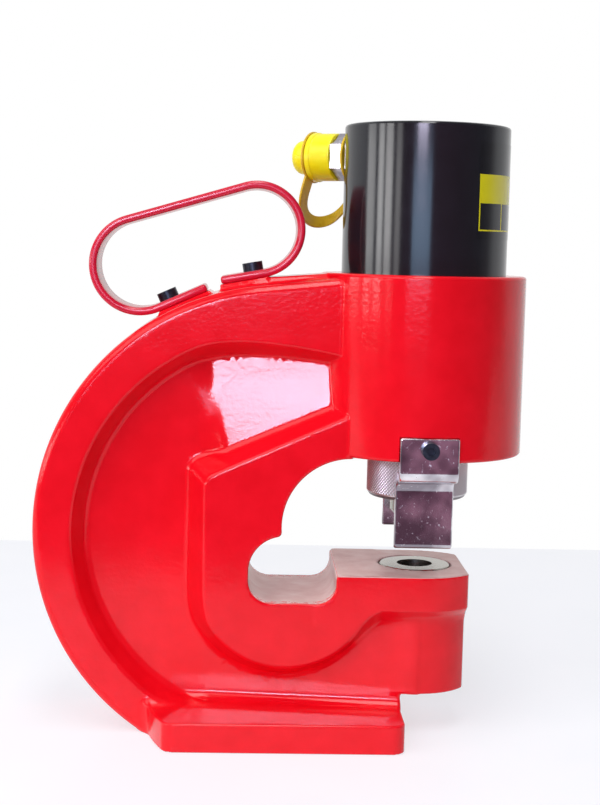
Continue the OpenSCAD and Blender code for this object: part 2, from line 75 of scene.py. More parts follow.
def high(node):
    """Greatest x, y and z of a CAD node, in millimetres."""
    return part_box(node)[1] / MM


# Camera, at the photograph's place
CAMERA_AT = Vector((-0.02446, -0.9929, 0.31143))
CAMERA_YAW, CAMERA_PITCH, CAMERA_ROLL = math.radians(2.17), math.radians(5.86), math.radians(1.38)
FOCAL_PIXELS, IMAGE_HEIGHT = 1536.15, 805
SENSOR_HEIGHT = 36


def place_camera():
    """Camera with the place, turn and field of view that were fitted to the photograph."""
    data = bpy.data.cameras.new("camera")
    data.sensor_fit = "VERTICAL"
    data.sensor_height = SENSOR_HEIGHT
    data.lens = SENSOR_HEIGHT * FOCAL_PIXELS / IMAGE_HEIGHT
    data.clip_start, data.clip_end = 0.01, 50
    camera = bpy.data.objects.new("camera", data)
    bpy.context.scene.collection.objects.link(camera)
    cp, sp = math.cos(CAMERA_PITCH), math.sin(CAMERA_PITCH)
    ahead = Vector((math.sin(CAMERA_YAW) * cp, math.cos(CAMERA_YAW) * cp, -sp))
    right = Vector((math.cos(CAMERA_YAW), -math.sin(CAMERA_YAW), 0))
    up = right.cross(ahead)
    cr, sr = math.cos(CAMERA_ROLL), math.sin(CAMERA_ROLL)
    across, upward = cr * right + sr * up, cr * up - sr * right
    turn = Matrix((across, upward, -ahead)).transposed().to_4x4()
    camera.matrix_world = Matrix.Translation(CAMERA_AT) @ turn
    bpy.context.scene.camera = camera


place_camera()

# Main sizes, x from the punch axis: the pieces that the frame shows
AXIS_X = middle("die").x
ANVIL_Z = high("die").z
DIE_Z = low("die").z
DIE_R = (high("die").x - low("die").x) / 2
CYL_R = 53.0
CYL_TOP = high("cylinder_body").z
SHOULDER_Z = low("cylinder_body").z
WALL_Z = high("rod_bush").z
BUSH_R = high("rod_bush").x - AXIS_X
# Head barrel, and how far the rim, pad and saddle run into it
HEAD_TOP = 294.5
HEAD_Z = low("rod_wiper").z
HEAD_R = 66.0
IN_HEAD_X = -30.0
# Foot plate: half width, thickness, front end, middle and radius of its round back end
FOOT_HALF = high("frame").y
FOOT_T, FOOT_END, FOOT_ARC_X, FOOT_ARC = 18.3, 10.0, 9.1, 185.0
# Rim of the C: middle and radius of its round back, half width, straight top that climbs to the head
RIM_X, RIM_Z, RIM_R, RIM_HALF = -89.5, 129.8, 156.5, 38.0
TOP_X, TOP_Z, TOP_L, TOP_H = -107.2, 285.3, 56.0, 6.4
# Pocket in each side of the rim: middle, radius at the face, draft of the walls, roof and its round corner
POCKET_X, POCKET_Z, POCKET_R = -92.5, 127.8, 129.0
DRAFT = math.radians(25)
ROOF_X, ROOF_Z, ROOF_SLOPE, ROOF_CORNER = -115.0, 253.7, math.radians(9.3), 12.0
# Web: where it starts to thicken towards the nose, half thickness there, rate, softness of that crease,
# how far it ends inside the rim's outline, and the factor that keeps distances true on its slope
WEB_X, WEB_HALF, WEB_RATE, WEB_CREASE = -135.0, 22.0, 0.116, 3.0
WEB_IN_RIM, WEB_TRUE = 12.0, 0.993
# Lean of the web towards the roof: rate, height that stays, then start behind the crease, drift of the start
# with height and length of the change, then height where the lean starts and its rise
LEAN, LEAN_Z = 0.16, 214.0
LEAN_START, LEAN_DRIFT, LEAN_RUN = 14.0, 0.2, 20.0
LEAN_LOW, LEAN_RISE = 120.0, 45.0
# Pad round the throat: corner of back and ridge, middle and radius of its round, half width
PAD_X, PAD_Z, PAD_CX, PAD_CZ, PAD_R, PAD_HALF = -138.0, 165.5, -85.6, 101.3, 56.4, 44.5
RIDGE_SLOPE = math.radians(24.5)
# Throat: back, front and floor of the notch, lobe under the arm
THROAT, NOTCH_X, NOTCH_Z, LOBE_X, LOBE_R = -109.5, -53.8, 86.2, -45.3, 43.7
# Anvil: its radius, radius of the column under it and how far below the top that ends, flat nose and its
# underside, then height, stand and back of its lip
ANVIL_R, COLUMN_R, COLUMN_END, NOSE_X, NOSE_Z = 45.2, 37.96, 4.0, 32.0, 26.5
LIP_Z, LIP_OUT, LIP_BACK = 82.5, 0.3, -60.0
# Height that parts the anvil from the head
MID_THROAT_Z = 150.0
# Saddle from the front seat of the handle to the head
SADDLE_X0, SADDLE_Z0, SADDLE_X1, SADDLE_HALF = -101.9, 290.2, -52.0, 19.5
SADDLE_BACK, SADDLE_LOW, SADDLE_TOP = -108.4, 270.0, HEAD_TOP - 0.4
# Flats on the head for the strippers
STRIP_HALF, STRIP_FLAT, STRIP_TOP = 18.25, 60.5, 195.5
# Handle: slopes of its feet, radii and middles of its bends, lengths of its feet, section of its bar
SLOPE_BACK, SLOPE_FRONT = math.radians(24.4), math.radians(10.6)
BACK_BEND_R, FRONT_BEND_R = 32.0, 30.5
BACK_BEND, FRONT_BEND = (-181.63, 296.59), (-108.05, 320.5)
FOOT_BACK_L, FOOT_FRONT_L = 33.0, 28.0
BAR_T, BAR_HALF = 5.0, 20.0
# Bores: cylinder spigot, return spring, slug, half depth of the die's bore, gap round the top of the die
SPIGOT_R, SPRING_BORE_R, SLUG_R, DIE_BORE_HALF = 48.0, 42.0, 12.5, 20.0
DIE_GAP, DIE_GAP_DEPTH = 0.9, 3.0
# Rounds of the casting: crown of the rim, edges of the head, others, machined edges, roots of ribs and head
CROWN, HEAD_EDGE, EDGE_ROUND, CUT_EDGE, ROOT_ROUND, HEAD_ROOT = 5.5, 2.2, 1.8, 1.0, 3.0, 1.2
# Rounds of the foot: fillet along it, front and back corners, top edge, sole
FOOT_FILLET, FOOT_CORNER, FOOT_BACK_CORNER, FOOT_EDGE, SOLE_EDGE = 7.0, 9.0, 5.0, 1.3, 0.8
# Rounds of the pad's corners, under the anvil's lip, of the saddle and of the handle's seats
PAD_CORNER, LIP_FILLET = 5.0, 8.0
SADDLE_FILLET, SADDLE_EDGE, SEAT_FILLET, SEAT_EDGE = 6.0, 1.5, 3.0, 1.0
# Depth of the nut's knurl
KNURL = 0.9


# Materials
def hex_colour(code):
    """sRGB hex to the linear colour that a socket takes."""
    parts = [int(code[i:i + 2], 16) / 255 for i in (1, 3, 5)]
    return [v / 12.92 if v <= 0.04045 else ((v + 0.055) / 1.055) ** 2.4 for v in parts] + [1.0]


def add(tree, kind, links=None, **settings):
    """One node. Settings go on its inputs or on the node itself, stops on its ramp.
    Links join its inputs, by name or number, to nodes and outputs, or set them where they give numbers."""
    node = tree.nodes.new("ShaderNode" + kind)
    for name, value in settings.items():
        label = name.replace("_", " ").lower()
        sockets = [s for s in node.inputs if s.name.lower() == label and s.enabled]
        if name == "stops":
            while len(node.color_ramp.elements) < len(value):
                node.color_ramp.elements.new(0.5)
            for point, (place, code) in zip(node.color_ramp.elements, value):
                point.position, point.color = place, hex_colour(code)
        elif sockets:
            sockets[0].default_value = value
        else:
            setattr(node, name, value)
    for name, source in (links or {}).items():
        named = [s for s in node.inputs if s.name == name and s.enabled]
        socket = named[0] if named else node.inputs[name]
        if isinstance(source, (float, tuple)):
            socket.default_value = source
        else:
            tree.links.new(source.outputs[0] if hasattr(source, "outputs") else source, socket)
    return node


def new_material(name):
    """An empty node material with its tree and output."""
    material = bpy.data.materials.new(name)
    material.use_nodes = True
    tree = material.node_tree
    tree.nodes.clear()
    out = tree.nodes.new("ShaderNodeOutputMaterial")
    return material, tree, out


def per_metre(mm):
    """Noise scale whose cells are about this many millimetres wide."""
    return 1.0 / (mm * MM)


def from_punch_axis(tree, at):
    """Distance of each place from the punch axis, in metres."""
    moved = add(tree, "VectorMath", {0: at, 1: (AXIS_X * MM, 0, 0)}, operation="SUBTRACT")
    level = add(tree, "VectorMath", {0: moved, 1: (1, 1, 0)}, operation="MULTIPLY")
    return add(tree, "VectorMath", {0: level}, operation="LENGTH").outputs["Value"]


def red_enamel_on_cast_iron():
    """Sprayed enamel over an as-cast skin: deep gloss, orange peel, soft lumps of the sand mould.
    The anvil's top and the notch are machined after painting: bare grey with overspray, its pink tint partly
    overspray, partly a painted reflection of the red enamel round it."""
    material, tree, out = new_material("red_enamel_on_cast_iron")
    at = add(tree, "TexCoord").outputs["Object"]
    lumps = add(tree, "TexNoise", {"Vector": at}, Scale=per_metre(16), Detail=3.0, Roughness=0.5)
    peel = add(tree, "TexNoise", {"Vector": at}, Scale=per_metre(2.4), Detail=2.0, Roughness=0.5)
    spray = add(tree, "TexNoise", {"Vector": at}, Scale=per_metre(5), Detail=5.0, Roughness=0.65)
    marks = add(tree, "TexNoise", {"Vector": at}, Scale=per_metre(12), Detail=4.0, Roughness=0.55)
    place = add(tree, "SeparateXYZ", {"Vector": at})
    x, y, z = (place.outputs[axis] for axis in "XYZ")
    notch_front, notch_back = AXIS_X + NOTCH_X, AXIS_X + THROAT
    # machined top of the anvil: a thin layer of heights, in front of the notch
    top = add(tree, "MapRange", {"Value": z}, From_Min=(ANVIL_Z - 1.1) * MM, From_Max=(ANVIL_Z - 0.7) * MM)
    below = add(tree, "Math", {0: z, 1: (ANVIL_Z + 0.4) * MM}, operation="LESS_THAN")
    ahead = add(tree, "Math", {0: x, 1: (notch_front - 3) * MM}, operation="GREATER_THAN")
    for limit in (below, ahead):
        top = add(tree, "Math", {0: top, 1: limit}, operation="MULTIPLY")
    # machined bore of the die
    bore = add(tree, "Math", {0: from_punch_axis(tree, at), 1: (DIE_R + 1.3) * MM}, operation="LESS_THAN")
    seat = add(tree, "Math", {0: z, 1: (DIE_Z - 1) * MM}, operation="GREATER_THAN")
    bore = add(tree, "Math", {0: bore, 1: seat}, operation="MULTIPLY")
    # machined walls of the notch, less bare towards both faces of the pad
    side = add(tree, "Math", {0: y}, operation="ABSOLUTE")
    drift = add(tree, "MapRange", {"Value": spray.outputs["Fac"]},
                From_Min=0.35, From_Max=0.65, To_Min=-5 * MM, To_Max=5 * MM)
    depth = add(tree, "Math", {0: side, 1: drift}, operation="ADD")
    wall = add(tree, "Math", {0: z, 1: (NOTCH_Z - 0.6) * MM}, operation="GREATER_THAN")
    for value, painted, clean in ((depth, PAD_HALF - 2.5, PAD_HALF - 7),
                                  (side, PAD_HALF - 0.8, PAD_HALF - 1.8),
                                  (x, notch_front + 0.7, notch_front + 0.4),
                                  (x, notch_back - 0.9, notch_back - 0.6),
                                  (z, ANVIL_Z + 26, ANVIL_Z + 14)):
        limit = add(tree, "MapRange", {"Value": value}, From_Min=painted * MM, From_Max=clean * MM)
        wall = add(tree, "Math", {0: wall, 1: limit}, operation="MULTIPLY")
    bare = bore
    for mask in (top, wall):
        bare = add(tree, "Math", {0: bare, 1: mask}, operation="MAXIMUM")
    enamel = add(tree, "ValToRGB", {"Fac": lumps.outputs["Fac"]}, stops=[(0.3, "#E60A1A"), (0.7, "#EF0F20")])
    # bare metal: pinkish grey, the pink partly a painted reflection of the red enamel round it
    metal = add(tree, "ValToRGB", {"Fac": marks.outputs["Fac"]},
                stops=[(0.3, "#D4A7A1"), (0.5, "#DDB6B0"), (0.72, "#E6C8C2")])
    colour = add(tree, "MixRGB", {"Fac": bare, "Color1": enamel, "Color2": metal})
    metallic = add(tree, "MapRange", {"Value": bare}, To_Max=0.35)
    rough = add(tree, "MapRange", {"Value": bare}, To_Min=0.13, To_Max=0.38)
    bump = add(tree, "Bump", {"Height": lumps.outputs["Fac"]}, Strength=0.2, Distance=0.5 * MM)
    fine = add(tree, "Bump", {"Height": peel.outputs["Fac"], "Normal": bump},
               Strength=0.36, Distance=0.2 * MM)
    shader = add(tree, "BsdfPrincipled",
                 {"Base Color": colour, "Metallic": metallic, "Roughness": rough, "Normal": fine},
                 IOR=1.5, Specular_IOR_Level=0.32)
    tree.links.new(shader.outputs[0], out.inputs[0])
    return material


def plain_finish(name, dark, light, metallic, roughness, cell, spread=0.08, bump=0.1, depth=0.05, ior=1.5):
    """A finish whose colour and gloss drift over cells of a given size in millimetres."""
    material, tree, out = new_material(name)
    at = add(tree, "TexCoord").outputs["Object"]
    grain = add(tree, "TexNoise", {"Vector": at}, Scale=per_metre(cell), Detail=3.0, Roughness=0.5)
    colour = add(tree, "ValToRGB", {"Fac": grain.outputs["Fac"]}, stops=[(0.3, dark), (0.7, light)])
    gloss = add(tree, "MapRange", {"Value": grain.outputs["Fac"]}, From_Min=0.3, From_Max=0.7,
                To_Min=roughness - spread / 2, To_Max=roughness + spread / 2)
    relief = add(tree, "Bump", {"Height": grain.outputs["Fac"]}, Strength=bump, Distance=depth * MM)
    shader = add(tree, "BsdfPrincipled", {"Base Color": colour, "Roughness": gloss, "Normal": relief},
                 Metallic=metallic)
    if not metallic:
        shader.inputs["IOR"].default_value = ior
    tree.links.new(shader.outputs[0], out.inputs[0])
    return material


def knurled_steel():
    """Turned steel with a diamond knurl, its colour set by depth: painted shade in the grooves, a painted
    highlight on the crests.
    """
    material, tree, out = new_material("knurled_steel")
    at = add(tree, "TexCoord").outputs["Object"]
    crest = high("punch_nut").x - AXIS_X
    height = add(tree, "MapRange", {"Value": from_punch_axis(tree, at)},
                 From_Min=(crest - KNURL) * MM, From_Max=crest * MM)
    # painted shade and painted highlight: dark grey in the grooves, white on the crests
    colour = add(tree, "ValToRGB", {"Fac": height},
                 stops=[(0.0, "#858183"), (0.4, "#C6C4C5"), (0.7, "#FFFFFF")])
    gloss = add(tree, "MapRange", {"Value": height}, To_Min=0.5, To_Max=0.3)
    shader = add(tree, "BsdfPrincipled", {"Base Color": colour, "Roughness": gloss}, Metallic=1.0)
    tree.links.new(shader.outputs[0], out.inputs[0])
    return material


def zinc_plate():
    """Bright zinc on a pressed plate: a soft mirror with slow waves of the rolled sheet,
    and small pale flecks where the plating is rough. Its mauve grey clouds of colour are a painted
    reflection of the red frame."""
    material, tree, out = new_material("bright_zinc_plate")
    at = add(tree, "TexCoord").outputs["Object"]
    waves = add(tree, "TexNoise", {"Vector": at}, Scale=per_metre(18), Detail=2.0, Roughness=0.5)
    fleck = add(tree, "TexNoise", {"Vector": at}, Scale=per_metre(4), Detail=9.0, Roughness=0.8)
    # painted reflection: dark mauve grey to near white clouds stand for the red frame and the room mirrored
    # in the zinc
    cloud = add(tree, "ValToRGB", {"Fac": waves.outputs["Fac"]},
                stops=[(0.36, "#8F8A92"), (0.5, "#B9B5BC"), (0.66, "#EDECF0")])
    bright = add(tree, "MapRange", {"Value": fleck.outputs["Fac"]}, From_Min=0.59, From_Max=0.66)
    pale = add(tree, "MixRGB", {"Fac": bright, "Color1": cloud}, Color2=hex_colour("#FAFBFD"))
    gloss = add(tree, "MapRange", {"Value": fleck.outputs["Fac"]},
                From_Min=0.58, From_Max=0.68, To_Min=0.13, To_Max=0.6)
    relief = add(tree, "Bump", {"Height": waves.outputs["Fac"]}, Strength=0.25, Distance=0.8 * MM)
    grit = add(tree, "Bump", {"Height": fleck.outputs["Fac"], "Normal": relief},
               Strength=0.15, Distance=0.1 * MM)
    shader = add(tree, "BsdfPrincipled", {"Base Color": pale, "Roughness": gloss, "Normal": grit},
                 Metallic=1.0)
    tree.links.new(shader.outputs[0], out.inputs[0])
    return material


ENAMEL = red_enamel_on_cast_iron()
ZINC = zinc_plate()
KNURLED = knurled_steel()
# Enamel on a rolled bar: smoother than on the casting and a little more crimson
BAR_ENAMEL = plain_finish("red_enamel_on_flat_bar", "#CE1532", "#D61B39", 0.0, 0.2, 16, 0.04, bump=0.03)
# Black enamel on a turned cylinder: smooth, so that windows show as upright streaks
BLACK_ENAMEL = plain_finish("black_enamel_on_turned_steel", "#15161A", "#191A1F", 0.0, 0.14, 14, 0.03,
                            bump=0.03, depth=0.02)
# Turned steel: pale satin with slight drifts of grey
TURNED = plain_finish("turned_steel", "#BEBCBE", "#CBC9CB", 1.0, 0.28, 14, 0.05, bump=0.02, depth=0.02)
# Hardened and ground tool steel: even light grey
TOOL = plain_finish("ground_tool_steel", "#A09C94", "#ACA8A0", 1.0, 0.26, 9, 0.05, bump=0.02, depth=0.02)
# Hard chrome on the ground rod: a near mirror
CHROME = plain_finish("hard_chrome", "#C9CBD0", "#D8DADD", 1.0, 0.1, 8, 0.04, bump=0.02, depth=0.01)
# Black oxide on screws: blue-black, oily satin
OXIDE = plain_finish("black_oxide_on_steel", "#2A2F38", "#383F4A", 0.75, 0.34, 3, 0.1, bump=0.05, depth=0.02)
# Nitrile rubber seals: dull black with a moulded skin
RUBBER = plain_finish("black_seal_rubber", "#101012", "#191A1B", 0.0, 0.6, 3, 0.1, ior=1.52)
# Turned fluoroplastic back-up ring: waxy white
PTFE = plain_finish("white_ptfe", "#DDD9CC", "#ECE9DF", 0.0, 0.45, 4, 0.06, ior=1.38)
# Phenolic guide band: brown, with the weave of its cloth lost in the resin
GUIDE = plain_finish("brown_guide_plastic", "#5A3B28", "#6E4A33", 0.0, 0.5, 2, 0.1, ior=1.55)
# Bearing bronze, turned: warm and satin
BRONZE = plain_finish("cast_bronze", "#A87B3E", "#BF9150", 1.0, 0.32, 3, 0.1)
# Oiled spring steel: grey wire
SPRING = plain_finish("spring_steel", "#6F7076", "#84868C", 1.0, 0.36, 2, 0.1)
# Injection-moulded polyethylene: waxy lemon yellow
YELLOW = plain_finish("yellow_polyethylene", "#FFF000", "#FFF61A", 0.0, 0.34, 7, 0.06, bump=0.05, ior=1.51)
# The strap is thinner than the cap and looks more amber
AMBER = plain_finish("amber_polyethylene_strap", "#D9B21C", "#E6C32E", 0.0, 0.36, 6, 0.06,
                     bump=0.05, ior=1.51)
# Printed film: as glossy as the enamel round it and a little blacker
FILM = plain_finish("black_printed_film", "#0D0E11", "#121317", 0.0, 0.14, 9, 0.03, bump=0.03)
# Its yellow ink: a duller gloss
PRINT = plain_finish("yellow_print", "#E2D90C", "#E5DD12", 0.0, 0.22, 12, 0.04, bump=0.02)

for node, finish in {
    "cylinder_body": BLACK_ENAMEL, "piston_rod": CHROME, "piston_seal": RUBBER, "backup_ring": PTFE,
    "wear_ring": GUIDE, "rod_bush": BRONZE, "rod_wiper": RUBBER, "return_spring": SPRING,
    "punch_nut": TURNED, "punch": TOOL, "die": TOOL, "stripper_front": ZINC, "stripper_rear": ZINC,
    "stripper_screws": OXIDE, "handle": BAR_ENAMEL, "handle_screws": OXIDE, "coupler_body": ZINC,
    "valve_poppet": TURNED, "valve_spring": SPRING, "dust_cap": YELLOW, "cap_strap": AMBER,
    "frame": ENAMEL,
}.items():
    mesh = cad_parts[node].data
    mesh.materials.clear()
    mesh.materials.append(finish)


# Pieces
def piece(name, points, faces, finish, body=None, replaces=(), slot=None, sharp=35, normals=None):
    """A mesh piece from points in millimetres round the punch axis, riding on a body."""
    mesh = bpy.data.meshes.new(name)
    co = np.asarray(points, float) * MM
    co[:, 0] += AXIS_X * MM
    mesh.from_pydata(co.tolist(), [], faces)
    mesh.update()
    mesh.polygons.foreach_set("use_smooth", [True] * len(mesh.polygons))
    if normals is not None:
        mesh.normals_split_custom_set_from_vertices(normals.tolist())
    else:
        skin = bmesh.new()
        skin.from_mesh(mesh)
        bmesh.ops.recalc_face_normals(skin, faces=skin.faces)
        skin.to_mesh(mesh)
        skin.free()
        mesh.set_sharp_from_angle(angle=math.radians(sharp))
    mesh.materials.append(finish)
    obj = bpy.data.objects.new(name, mesh)
    bpy.context.scene.collection.objects.link(obj)
    if body:
        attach(obj, body)
    if replaces:
        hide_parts(*replaces)
    return obj


def fillet(a, b, r):
    """Two solids joined with a hollow round of radius r."""
    u, v = np.maximum(r - a, 0), np.maximum(r - b, 0)
    return np.maximum(r, np.minimum(a, b)) - np.sqrt(u * u + v * v)


def common(a, b, r):
    """What two solids share, with its edge rounded to radius r."""
    u, v = np.maximum(r + a, 0), np.maximum(r + b, 0)
    return np.minimum(-r, np.maximum(a, b)) + np.sqrt(u * u + v * v)


def throat_gap(x, z):
    """The C's open throat: lobe under the arm, gap between anvil and head, notch behind the anvil."""
    back_round, front_round, roof_round, blend = 14.5, 12.3, 22.5, 3.0
    lobe_drop, roof_rise = 0.8, 20.4
    lobe_z, roof_z = HEAD_Z - LOBE_R - lobe_drop, NOTCH_Z + roof_rise
    lobe = np.maximum(np.hypot(x - LOBE_X, z - lobe_z) - LOBE_R, ANVIL_Z - z)
    gap = np.maximum(np.maximum(LOBE_X - x, ANVIL_Z - z), z - HEAD_Z)
    floor = common(common(THROAT - x, NOTCH_Z - z, back_round), x - NOTCH_X, front_round)
    roof = np.hypot(x - THROAT - roof_round, z - roof_z) - roof_round
    notch = np.where(z > roof_z, roof, floor)
    return fillet(np.minimum(lobe, gap), notch, blend)


def ease(t):
    """A smooth step from 0 to 1."""
    t = np.clip(t, 0, 1)
    return t * t * (3 - 2 * t)


def handle_foot(x, z, bend, radius, slope):
    """Along a handle foot and square to it, from the end of its bend."""
    u = (x - bend[0]) * math.cos(slope) + (z - bend[1]) * math.sin(slope)
    w = (z - bend[1]) * math.cos(slope) - (x - bend[0]) * math.sin(slope) + radius
    return u, w


def casting(x, y, z):
    """Distance to the surface of the cast C frame, below zero inside."""
    y = np.abs(y)
    r = np.hypot(x, y)
    sd, cd, td = math.sin(DRAFT), math.cos(DRAFT), math.tan(DRAFT)
    # outline of the C: round back, straight top that climbs to the head
    climb = math.atan2(TOP_H, TOP_L)
    top = (z - TOP_Z) * math.cos(climb) - (x - TOP_X) * math.sin(climb)
    top = np.maximum(np.maximum(top, z - TOP_Z - TOP_H), TOP_X - x)
    outline = np.minimum(np.hypot(x - RIM_X, z - RIM_Z) - RIM_R, top)
    # rim with its drafted pocket
    cone = (np.hypot(x - POCKET_X, z - POCKET_Z) - POCKET_R + td * (RIM_HALF - y)) * cd
    roof = (cd * math.sin(ROOF_SLOPE) * (x - ROOF_X) + sd * (RIM_HALF - y)
            + cd * math.cos(ROOF_SLOPE) * (z - ROOF_Z))
    rim = np.maximum(common(outline, y - RIM_HALF, CROWN), x - IN_HEAD_X)
    rim = common(rim, -common(cone, roof, ROOF_CORNER), EDGE_ROUND)
    # web that thickens towards the nose, and leans back towards the roof above the ridge
    back = x - WEB_X
    half = WEB_HALF + WEB_RATE * (back + np.sqrt(back * back + WEB_CREASE ** 2)) / 2
    lean = ease((back + LEAN_START - LEAN_DRIFT * (LEAN_Z - z)) / LEAN_RUN)
    lean = lean * ease((z - LEAN_LOW) / LEAN_RISE)
    half = half + LEAN * (LEAN_Z - z) * lean
    under = np.maximum(-FOOT_END - x, z - NOSE_Z)
    inside = np.maximum(np.maximum(outline + WEB_IN_RIM, x), -under)
    web = common((y - half) * WEB_TRUE, inside, EDGE_ROUND)
    # round column under the anvil, up into its block
    column = common(common(r - COLUMN_R, NOSE_Z - z, EDGE_ROUND), x - NOSE_X, EDGE_ROUND)
    column = np.maximum(column, z - ANVIL_Z + COLUMN_END)
    body = fillet(rim, fillet(web, column, ROOT_ROUND), ROOT_ROUND)
    # pad round the throat
    depth = PAD_HALF - y
    pad = np.minimum((np.hypot(x - PAD_CX, z - PAD_CZ) - PAD_R - td * depth) * cd,
                     np.maximum(PAD_CZ - z, x - IN_HEAD_X))
    left = -cd * (x - PAD_X) - sd * depth
    ridge = cd * math.cos(RIDGE_SLOPE) * (z - PAD_Z) - cd * math.sin(RIDGE_SLOPE) * (x - PAD_X) - sd * depth
    pad = common(common(common(pad, left, PAD_CORNER), ridge, PAD_CORNER), -depth, EDGE_ROUND)
    # lip of the anvil, with an underside at 45 degrees
    side = np.where(x > 0, r, y) - PAD_HALF - LIP_OUT
    lip = np.maximum(side, (side + LIP_Z - z) * math.sqrt(0.5))
    lip = np.maximum(common(lip, z - ANVIL_Z, CUT_EDGE), LIP_BACK - x)
    block = np.maximum(fillet(pad, lip, LIP_FILLET), side)
    body = fillet(body, block, ROOT_ROUND)
    # round front of the anvil, cut flat at the nose; elsewhere these cuts touch nothing
    low_front, far = (x > 0) & (z < MID_THROAT_Z), -50
    body = np.maximum(body, np.where(low_front, r - ANVIL_R, far))
    body = common(body, np.where(low_front, x - NOSE_X, far), EDGE_ROUND)
    # saddle from the front seat of the handle to the head
    rise = (SADDLE_TOP - SADDLE_Z0) / (SADDLE_X1 - SADDLE_X0)
    saddle = np.maximum(z - SADDLE_Z0 - rise * (x - SADDLE_X0), z - SADDLE_TOP)
    ends = np.maximum(SADDLE_BACK - x, x - IN_HEAD_X)
    saddle = np.maximum(common(saddle, y - SADDLE_HALF, SADDLE_EDGE), ends)
    body = fillet(body, np.maximum(saddle, SADDLE_LOW - z), SADDLE_FILLET)
    # head
    head = common(r - HEAD_R, np.maximum(z - HEAD_TOP, HEAD_Z - z), HEAD_EDGE)
    body = np.maximum(fillet(body, head, HEAD_ROOT), z - HEAD_TOP)
    # foot with its long fillet
    plan = common(common(y - FOOT_HALF, x + FOOT_END, FOOT_CORNER),
                  np.hypot(x - FOOT_ARC_X, y) - FOOT_ARC, FOOT_BACK_CORNER)
    foot = np.maximum(common(plan, z - FOOT_T, FOOT_EDGE), -z)
    body = common(fillet(body, foot, FOOT_FILLET), -under, EDGE_ROUND)
    body = common(body, -z, SOLE_EDGE)
    # seats of the handle and the clear space above them: stretches along each foot, up to 1 mm past its ends
    seat_half, clear_half, beside = 5.0, 6.0, 3.0
    seats = ((BACK_BEND, BACK_BEND_R, SLOPE_BACK, -1, FOOT_BACK_L + 1, FOOT_BACK_L + 1),
             (FRONT_BEND, FRONT_BEND_R, SLOPE_FRONT, -FOOT_FRONT_L - 1, 1, 0))
    for bend, radius, slope, start, seat_end, clear_end in seats:
        u, w = handle_foot(x, z, bend, radius, slope)
        seat = np.maximum(np.maximum(start - u, u - seat_end), np.abs(w + seat_half) - seat_half)
        body = fillet(body, common(seat, y - BAR_HALF, SEAT_EDGE), SEAT_FILLET)
        clear = np.maximum(np.maximum(start - u, u - clear_end), np.abs(w - clear_half) - clear_half)
        body = np.maximum(body, -np.maximum(clear, y - BAR_HALF - beside))
    # machined cuts, those of the head 1 mm past its underside
    body = common(body, -throat_gap(x, z), CUT_EDGE)
    through = HEAD_Z - 1 - z
    bores = np.minimum(np.maximum(r - SPIGOT_R, SHOULDER_Z - z), np.maximum(r - SPRING_BORE_R, WALL_Z - z))
    bores = np.minimum(bores, np.maximum(r - BUSH_R, through))
    gap = np.where(z > ANVIL_Z - DIE_GAP_DEPTH, DIE_GAP, 0)
    die_bore = np.maximum(r - DIE_R - gap, np.abs(z - DIE_Z - DIE_BORE_HALF) - DIE_BORE_HALF)
    bores = np.minimum(bores, die_bore)
    bores = np.minimum(bores, np.maximum(r - SLUG_R, z - ANVIL_Z))
    flat = np.maximum(np.maximum(np.abs(x) - STRIP_HALF, STRIP_FLAT - y), np.maximum(z - STRIP_TOP, through))
    return np.maximum(body, -np.minimum(bores, flat))


def slope_of_casting(points, h):
    """Slope of the casting's distance at points, measured over h either side."""
    g = [casting(*(points + h * e).T) - casting(*(points - h * e).T) for e in np.eye(3)]
    return np.stack(g, 1) / (2 * h)


def casting_normals(points, h):
    """Directions out of the casting at points."""
    g = slope_of_casting(points, h)
    return g / np.maximum(np.linalg.norm(g, axis=1, keepdims=True), 1e-6)


def read(items, name, width=1, kind=float):
    """One property of all corners or faces of a mesh."""
    values = np.zeros(len(items) * width, kind)
    items.foreach_get(name, values)
    return values


def cast_frame():
    """The casting as one skin with its real rounds, from its distance field."""
    cell, flatness = 1.25, 0.0015
    band = 3 * cell
    lo, size = np.array((-252.0, -84.0, -6.0)), np.array((324.0, 168.0, 306.0))
    count = np.ceil(size / cell).astype(int)
    axes = [(lo[i] + cell * np.arange(count[i])).astype(np.float32) for i in range(3)]
    field = casting(axes[0][:, None, None], axes[1][None, :, None], axes[2][None, None, :])
    grid = openvdb.FloatGrid()
    grid.background = band
    grid.copyFromArray(np.clip(field.astype(np.float32), -band, band))
    points, triangles, quads = grid.convertToPolygons(isovalue=0.0, adaptivity=flatness)
    points = points.astype(float) * cell + lo
    # a few steps down the slope bring each point onto the surface
    longest = 0.6
    for _ in range(4):
        g = slope_of_casting(points, h=0.05)
        step = casting(*points.T) / np.maximum((g * g).sum(1), 0.25)
        points -= np.clip(step, -longest, longest)[:, None] * g
    normals = casting_normals(points, h=0.4)
    faces = [tuple(f) for f in triangles.tolist() + quads.tolist()]
    obj = piece("cast_frame", points, faces, ENAMEL, "frame", ("frame",), "red_enamel_casting",
                normals=normals)
    # a corner of a large face that its normal bends takes the normal from a little way into the face,
    # so that no round shades across it
    large_area, bend_limit, way_in = 1.6 * (cell * MM) ** 2, math.radians(4), 0.45
    mesh = obj.data
    of_point = read(mesh.loops, "vertex_index", kind=int)
    sizes = read(mesh.polygons, "loop_total", kind=int)
    areas = read(mesh.polygons, "area")
    centres = read(mesh.polygons, "center", 3).reshape(-1, 3) / MM - (AXIS_X, 0, 0)
    flat = read(mesh.polygons, "normal", 3).reshape(-1, 3)
    of_face = np.repeat(np.arange(len(sizes)), sizes)
    corners = normals[of_point]
    bent = (flat[of_face] * corners).sum(1) < math.cos(bend_limit)
    large = bent & (areas[of_face] > large_area)
    inner = points[of_point][large]
    inner = inner + way_in * (centres[of_face][large] - inner)
    corners[large] = casting_normals(inner, h=0.2)
    mesh.normals_split_custom_set(corners.tolist())


cast_frame()


